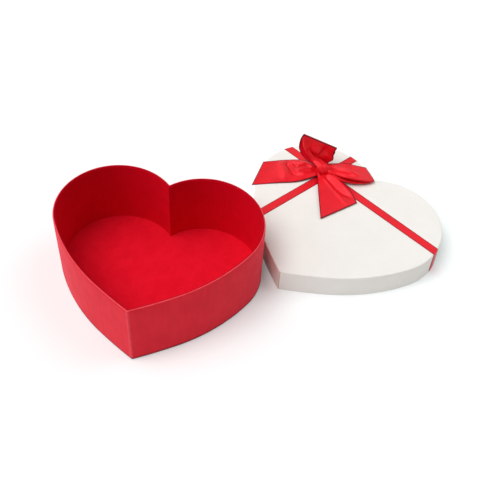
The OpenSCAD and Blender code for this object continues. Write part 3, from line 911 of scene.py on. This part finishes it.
def loop_grid(guide, root_w, full_w, tip, flare, bulge, thin, turn, tilt, slant, lines, pleat,
              roll=None, narrow=(0, 0, 0)):
    """Middle of a loop: out from the knot along a guide curve, round the tip and back.
    It opens from root_w to full_w within the share flare of its length, and tip is the share of
    its width at the tip. Its layers stand off the curve by bulge, less the share thin at the tip.
    At the tip its width is turned by turn and tilted by tilt, and slant is how far one side is
    drawn back. lines are its creases, pleat its gathers and roll its rolled side. narrow gives the
    shares by which one edge is drawn in on the front layer and stands out on the back, and by
    which the other edge is drawn in near the knot."""
    s, v = ribbon_axes(LOOP_ROWS)
    side = -np.cos(np.pi * s)
    front = ease(side * 1.5)
    across, depth = rolled(v, roll)
    t = np.sin(np.pi * s) * (1 - depth / LOOP_ROLL_LENGTH)
    drawn = ease((1 - t) / 0.6) * (0.3 + 0.7 * ease(t / 0.25))
    one_edge = 1 + drawn * (narrow[1] * (1 - front) - narrow[0] * front)
    other_edge = 1 - narrow[2] * ease((0.66 - t) / 0.5)
    across = across * np.where(v > 0, one_edge, other_edge)

    head = np.radians(90 + turn * ease(t))
    lean = np.radians(tilt * ease(t))
    wide = [np.cos(head) * np.cos(lean), np.sin(head) * np.cos(lean), np.sin(lean)]
    wide = np.stack(wide, axis=-1)
    path, along = curve_grid(guide, t)
    normal = unit(np.cross(along, wide))
    half = fan(root_w, full_w * (1 - (1 - tip) * ease(t)), t / flare) / 2
    swell = LOOP_SWELL_AT_KNOT + (1 - LOOP_SWELL_AT_KNOT) * ease(t / 0.6) - thin * t * t
    length = math.dist(guide[0], guide[3])
    fold = front * creases(t * length, across * half, lines)
    rise = side * (bulge * swell - depth) + fold + pleats(t, v, *pleat)
    grid = path + (across * half)[..., None] * wide + rise[..., None] * normal
    return grid - (slant * across * t * t)[..., None] * along


def tail_level(u, rest):
    """Level of a tail's middle. It comes down from the knot and has the level rest below it at its
    end."""
    down = (0.3 * KNOT_H - HOVER) * (1 - ease(u / 0.5))
    return HOVER + down - (HOVER - rest) * ease((u - 0.6) / 0.3) + BOW_T / 2 + TAIL_GAP


# Creases of the tails and loops on the flat ribbon. Each has the corners of its line, by distance
# from the knot and from the ribbon's middle, its height, below 0 for a valley, and its width.
TAIL_LEFT_LINES = [
    ([(38, -12), (36.6, -9.3), (32.5, -5.5), (28.9, 2.4), (24.9, 8.2), (16, 7)], -2.1, 2.3),
    ([(29, -10), (27.4, -8.3), (23.9, -3), (17.3, -5.5), (11.7, -4.8), (6, 2)], -1.7, 1.4),
    ([(34, -15), (22, -10), (8, -6)], 1.4, 2.4),
    ([(27, 3.5), (17, 1.5), (4, 1)], 1.3, 2.2),
    ([(44, -16), (39, -4), (35, 8), (34, 16)], 1.4, 4.0),
]
TAIL_RIGHT_LINES = [
    ([(4, -2), (8, -0.8), (18.6, 2.8), (30.9, 6.4), (52, 21)], -2.0, 2.3),
    ([(-2, 5), (15, 8.4), (28, 12.2), (44, 18)], 2.2, 2.5),
    ([(2, -4.5), (18, -1.5), (32, 2), (60, 13)], 0.9, 1.8),
    ([(2, -6), (16, -10), (34, -14)], -0.6, 2.5),
]
UPRIGHT_LINES = [
    ([(-4, 4), (12, 7.8), (23.6, 13.3), (34, 18)], 2.4, 2.0),
    ([(21, -4), (23.5, 0), (24, 7)], 3.2, 4.6),
    ([(34, -9), (20, -8)], -1.6, 3.0),
    ([(2, -5), (10, -8), (20, -12)], -1.2, 3.0),
    ([(4, -3), (16, 1)], -1.0, 3.6),
]
RIGHT_LINES = [
    ([(4, 1.2), (16, -0.4), (27, 0.6), (38, -3)], -2.9, 1.7),
    ([(2, 3.5), (12, 4.4), (26, 5), (48, -1)], 1.1, 2.0),
    ([(8, -3), (21, -4.8), (32, -6.2), (50, -4)], 1.3, 1.6),
]


def tail_left_grid():
    """Middle of the left tail. It fans out, arches up, bends sideways and has a slanting cut."""
    root_w = 15
    full_w = 0.83 * BOW_W
    length = 65.6
    cut_slant = 8.6
    arch_h = 4.5
    bend = 8.5
    end_shift = 3.2
    crease_length = 66
    u, v = ribbon_axes(TAIL_ROWS)
    half = fan(root_w, full_w, u / 0.45) / 2
    arch = arch_h * (1 - v * v) * ease(u / 0.45) * (1 - ease(u / 0.9))
    level = tail_level(u, 0) + arch + pleats(u, v, 0.7, 3, 0.3)
    level = level + creases(u * crease_length, v * half, TAIL_LEFT_LINES) * ease(u / 0.1)
    level = np.maximum(level, BOW_T / 2 + TAIL_CLEAR)
    along = TAIL_START + u * (length + cut_slant * v)
    across = v * half - bend * u * (1 - u) - end_shift * u * u
    return np.stack([along, across, level], axis=-1)


def tail_right_grid():
    """Middle of the right tail. It widens all along, bends sideways and has a slanting cut."""
    root_w = 13
    full_w = 1.09 * BOW_W
    belly = 8
    length = 56
    cut_slant = 6.7
    arch_h = 2.2
    bend = 6.4
    end_rest = 1.2
    edge_lift = 0.4
    crease_length = 55
    u, v = ribbon_axes(TAIL_ROWS)
    half = (root_w + (full_w - root_w) * u) / 2 + belly * u * (1 - u)
    level = tail_level(u, end_rest) + arch_h * np.sin(np.pi * u) + pleats(u, v, 0.7, 3, 0.25, 0.5)
    level = level + creases(u * crease_length, v * half, TAIL_RIGHT_LINES) * ease(u / 0.1)
    level = np.maximum(level, BOW_T / 2 + TAIL_CLEAR + edge_lift * ease(1 + v))
    along = TAIL_START + u * (length - cut_slant * v)
    across = v * half + bend * u * (1 - u)
    return np.stack([along, across, level], axis=-1)


def make_ribbon(name, middle, deg, node, line_row, tucked=0.0, looped=False):
    """Thin solid of a ribbon of the bow from the grid of its middle. The face inside a loop shows
    the satin's duller reverse, in a darker colour as painted shade."""
    upper, lower = both_faces(middle, BOW_T)
    points, faces = sheet_solid(at_knot(deg, upper), at_knot(deg, lower))
    piece = new_piece(name, points, faces, "lid", "satin_bow", [node], SATIN_CRISP,
                      maps=ribbon_maps(middle, BOW_W, line_row, tucked))
    if looped:
        piece.data.materials.append(MATERIALS["satin_reverse_painted_shade"])
        face_count = 2 * (middle.shape[0] - 1) * (middle.shape[1] - 1)
        for index in range(0, face_count, 2):
            piece.data.polygons[index].material_index = 1


def make_bow():
    """Two loops and two tails, each in the direction in which it leaves the knot. One edge of the
    upright loop's front layer is folded out of sight, so its selvedge isn't shown there."""
    hidden_edge = 4
    upright = loop_grid(
        guide=[(2, 0, 7), (8, 5.5, 8.5), (13, 10.5, 23), (4.9, 5.6, 38)],
        root_w=13, full_w=38, tip=0.97, flare=0.5, bulge=6.5, thin=0.25,
        turn=-9, tilt=12.5, slant=0,
        lines=UPRIGHT_LINES, pleat=(0.5, 3, 0.4), narrow=(0.42, 0.16, 0.36))
    right = loop_grid(
        guide=[(2, 0, 6.5), (18, -5.5, 8), (35, -8, 7.5), (53.3, 7, 3.8)],
        root_w=12, full_w=32, tip=1.05, flare=0.6, bulge=4.4, thin=0,
        turn=10, tilt=0, slant=9.5,
        lines=RIGHT_LINES, pleat=(0.5, 3, 0.4), roll=(-0.4, 1.3, 0.09))
    s, v = ribbon_axes(LOOP_ROWS)
    before_tip = ease((0.98 - np.sin(np.pi * s)) / 0.06)
    tucked = hidden_edge * ease(-1.5 * np.cos(np.pi * s)) * before_tip * (v > 0)
    tip_row = LOOP_ROWS // 2
    cut_row = -1
    make_ribbon("satin_loop_upright", upright, 120, "bow_loop_upright",
                tip_row, tucked, looped=True)
    make_ribbon("satin_loop_right", right, 20, "bow_loop_right",
                tip_row, looped=True)
    make_ribbon("satin_tail_left", tail_left_grid(), 226, "bow_tail_left",
                cut_row)
    make_ribbon("satin_tail_right", tail_right_grid(), -37.5, "bow_tail_right",
                cut_row)


# Middle line of the knot's strip in the knot's own frame: x, y, level and half its width
KNOT_STRIP = [
    (0.3, -4.5, 0.8, 5.6), (0.3, -7.6, 2.6, 5.6), (0.2, -8.2, 6.0, 5.6), (-0.8, -6.8, 9.8, 5.4),
    (-2.2, -3.0, 12.2, 5.2), (-4.0, 1.5, 13.5, 4.9), (-6.2, 4.8, 14.4, 4.0), (-8.2, 6.6, 15.6, 3.0),
    (-9.7, 8.0, 17.8, 2.3), (-11.3, 9.5, 20.8, 1.7), (-13.0, 12.0, 25.0, 1.1),
]
STRIP_COLUMNS = 33
STRIP_START_WIDE = np.array([1.0, 0.0, 0.0])
STRIP_END_WIDE = np.array([0.86, -0.5, 0.0])
STRIP_CROWN = 0.9
STRIP_HIDDEN_EDGE = 4.0
CORE_RINGS = 14
CORE_SPOKES = 96
CORE_R = 6.2
CORE_PLEATS = 13
CORE_PLEAT_H = 0.2
CORE_Z = 4
CORE_RISE = 6.6
CORE_FOOT = -25


def knot_strip_grid():
    """Middle of the strip. It comes up in front of the knot, runs over it and ends as a fold along
    the upright loop."""
    path = rounded_line(KNOT_STRIP)
    v = np.linspace(-1, 1, STRIP_COLUMNS)
    along = unit(np.gradient(path[:, :3], axis=0))
    share = np.linspace(0, 1, len(path))[:, None] ** 2
    wide = STRIP_START_WIDE * (1 - share) + STRIP_END_WIDE * share
    wide = unit(wide - (wide * along).sum(axis=1, keepdims=True) * along)
    normal = unit(np.cross(wide, along))
    crown = STRIP_CROWN * (1 - v * v) + 0.12 * np.cos(9 * v + 0.8)
    strip = path[:, None, :3] + (path[:, 3:4] * v)[..., None] * wide[:, None]
    return turned(strip + crown[:, None] * normal[:, None], KNOT_WRAP)


def knot_core():
    """Points of the pleated core, in rings from its foot to its top."""
    leans = np.radians(np.linspace(CORE_FOOT, 90, CORE_RINGS))
    turns = 2 * np.pi * np.arange(CORE_SPOKES) / CORE_SPOKES
    lean, turn = np.meshgrid(leans, turns, indexing="ij")
    out = (CORE_R + CORE_PLEAT_H * np.cos(CORE_PLEATS * turn)) * np.cos(lean)
    level = CORE_Z + CORE_RISE * np.sin(lean)
    return np.stack([out * np.cos(turn), out * np.sin(turn), level], axis=-1).reshape(-1, 3)


def make_knot():
    """Strip of ribbon wrapped over the middle of the bow, with a pleated core under it."""
    middle = knot_strip_grid()
    upper, lower = both_faces(middle, BOW_T)
    strip, faces = sheet_solid(at_knot(0, upper), at_knot(0, lower))
    core = at_knot(0, knot_core())
    shift = len(strip)
    for face in ring_faces(CORE_RINGS, CORE_SPOKES, closed=False):
        faces.append([shift + k for k in face])
    faces.append([shift + j for j in reversed(range(CORE_SPOKES))])

    maps = ribbon_maps(middle, BOW_W, tucked=STRIP_HIDDEN_EDGE)
    floats = np.tile(np.arange(CORE_SPOKES) / 4, CORE_RINGS)
    maps["ribbon"] = np.concatenate([maps["ribbon"], np.column_stack([floats, 0 * floats])])
    maps["edge"] = np.concatenate([maps["edge"], np.full((len(core), 2), BAND_W)])
    new_piece("satin_knot", np.concatenate([strip, core]), faces, "lid", "satin_bow",
              ["bow_knot"], SATIN_CRISP, maps=maps)


make_wall_wrap()
make_rim_wrap()
make_top_paper()
make_bands()
make_bow()
make_knot()


# Floor, light and camera

FLOOR_HALF = 3000
FLOOR_COLOUR = (0.95, 0.95, 0.95, 1)
SEEN_FLOOR_COLOUR = (0.87, 0.88, 0.88, 1)
FLOOR_GLOW = (0.095, 0.12, 0.12, 1)
HORIZON = 0.38

# Wide lamps, each with its direction from the table and its strength
LAMP_ANGLE = 40
LAMP_DISTANCE = 2
LAMPS = [
    ("key", (-0.3, -0.3, 0.9), 1.75),
    ("top", (-0.4, 0.12, 0.9), 0.66),
    ("side", (-0.85, -0.3, 0.45), 0.53),
    ("back", (0.5, 0.3, 0.8), 0.69),
]

CAMERA_PLACE = (152.1, -501.3, 676.0)
CAMERA_YAW = 7.1047
CAMERA_PITCH = 50.2
CAMERA_ROLL = 4.1253
CAMERA_LENS = 62.13
SENSOR_W = 36


def show_white(tree):
    """1 for rays from the camera, reflections and glass, which see the white surroundings."""
    path = tree.nodes.new("ShaderNodeLightPath")
    seen = add_math(tree, "ADD", path.outputs["Is Camera Ray"], path.outputs["Is Glossy Ray"])
    seen = add_math(tree, "ADD", seen, path.outputs["Is Transmission Ray"])
    return add_math(tree, "MINIMUM", seen, 1.0)


def make_floor():
    """Pale table that glows a little for the camera, so that it runs into the white behind it."""
    half = FLOOR_HALF * MM
    mesh = bpy.data.meshes.new("floor")
    corners = [(x * half, y * half, 0) for x, y in ((-1, -1), (1, -1), (1, 1), (-1, 1))]
    mesh.from_pydata(corners, [], [(0, 1, 2, 3)])
    floor = bpy.data.objects.new("floor", mesh)
    bpy.context.scene.collection.objects.link(floor)
    material = bpy.data.materials.new("pale_floor")
    material.use_nodes = True
    tree = material.node_tree
    shader = tree.nodes["Principled BSDF"]
    seen = show_white(tree)
    colour = add_mix(tree, seen, FLOOR_COLOUR, SEEN_FLOOR_COLOUR)
    tree.links.new(colour, shader.inputs["Base Color"])
    shader.inputs["Roughness"].default_value = 1
    shader.inputs["Specular IOR Level"].default_value = 0
    shader.inputs["Emission Color"].default_value = FLOOR_GLOW
    tree.links.new(seen, shader.inputs["Emission Strength"])
    mesh.materials.append(material)


def make_world():
    """White surroundings for the camera, and a faint light from the horizon for the object."""
    world = bpy.data.worlds.new("studio")
    bpy.context.scene.world = world
    world.use_nodes = True
    tree = world.node_tree
    background = tree.nodes["Background"]
    background.inputs["Color"].default_value = (1, 1, 1, 1)
    direction = tree.nodes.new("ShaderNodeTexCoord").outputs["Generated"]
    height = add_math(tree, "MAXIMUM", add_split(tree, direction)["Z"], 0.0)
    soft = add_math(tree, "MULTIPLY", add_math(tree, "SUBTRACT", 1.0, height), HORIZON)
    seen = show_white(tree)
    unseen = add_math(tree, "MULTIPLY", soft, add_math(tree, "SUBTRACT", 1.0, seen))
    tree.links.new(add_math(tree, "ADD", unseen, seen), background.inputs["Strength"])


def make_sun(name, direction, strength):
    """Lamp with soft shadows that shines from a direction onto the middle of the table."""
    lamp = bpy.data.lights.new(name, "SUN")
    lamp.energy = strength
    lamp.angle = math.radians(LAMP_ANGLE)
    sun = bpy.data.objects.new(name, lamp)
    bpy.context.scene.collection.objects.link(sun)
    sun.rotation_euler = Vector(direction).to_track_quat("Z", "Y").to_euler()
    sun.location = Vector(direction) * LAMP_DISTANCE


def make_camera():
    """Camera above and in front of the box, turned a little to the left and about its own axis."""
    data = bpy.data.cameras.new("camera")
    data.lens = CAMERA_LENS
    data.sensor_width = SENSOR_W
    camera = bpy.data.objects.new("camera", data)
    bpy.context.scene.collection.objects.link(camera)
    turn = Matrix.Rotation(math.radians(CAMERA_YAW), 4, "Z")
    turn = turn @ Matrix.Rotation(math.radians(90 - CAMERA_PITCH), 4, "X")
    turn = turn @ Matrix.Rotation(math.radians(CAMERA_ROLL), 4, "Z")
    camera.matrix_world = Matrix.Translation(Vector(CAMERA_PLACE) * MM) @ turn
    bpy.context.scene.camera = camera


make_floor()
make_world()
for lamp_name, lamp_direction, lamp_strength in LAMPS:
    make_sun(lamp_name, lamp_direction, lamp_strength)
make_camera()
bpy.context.scene.view_settings.view_transform = "Standard"
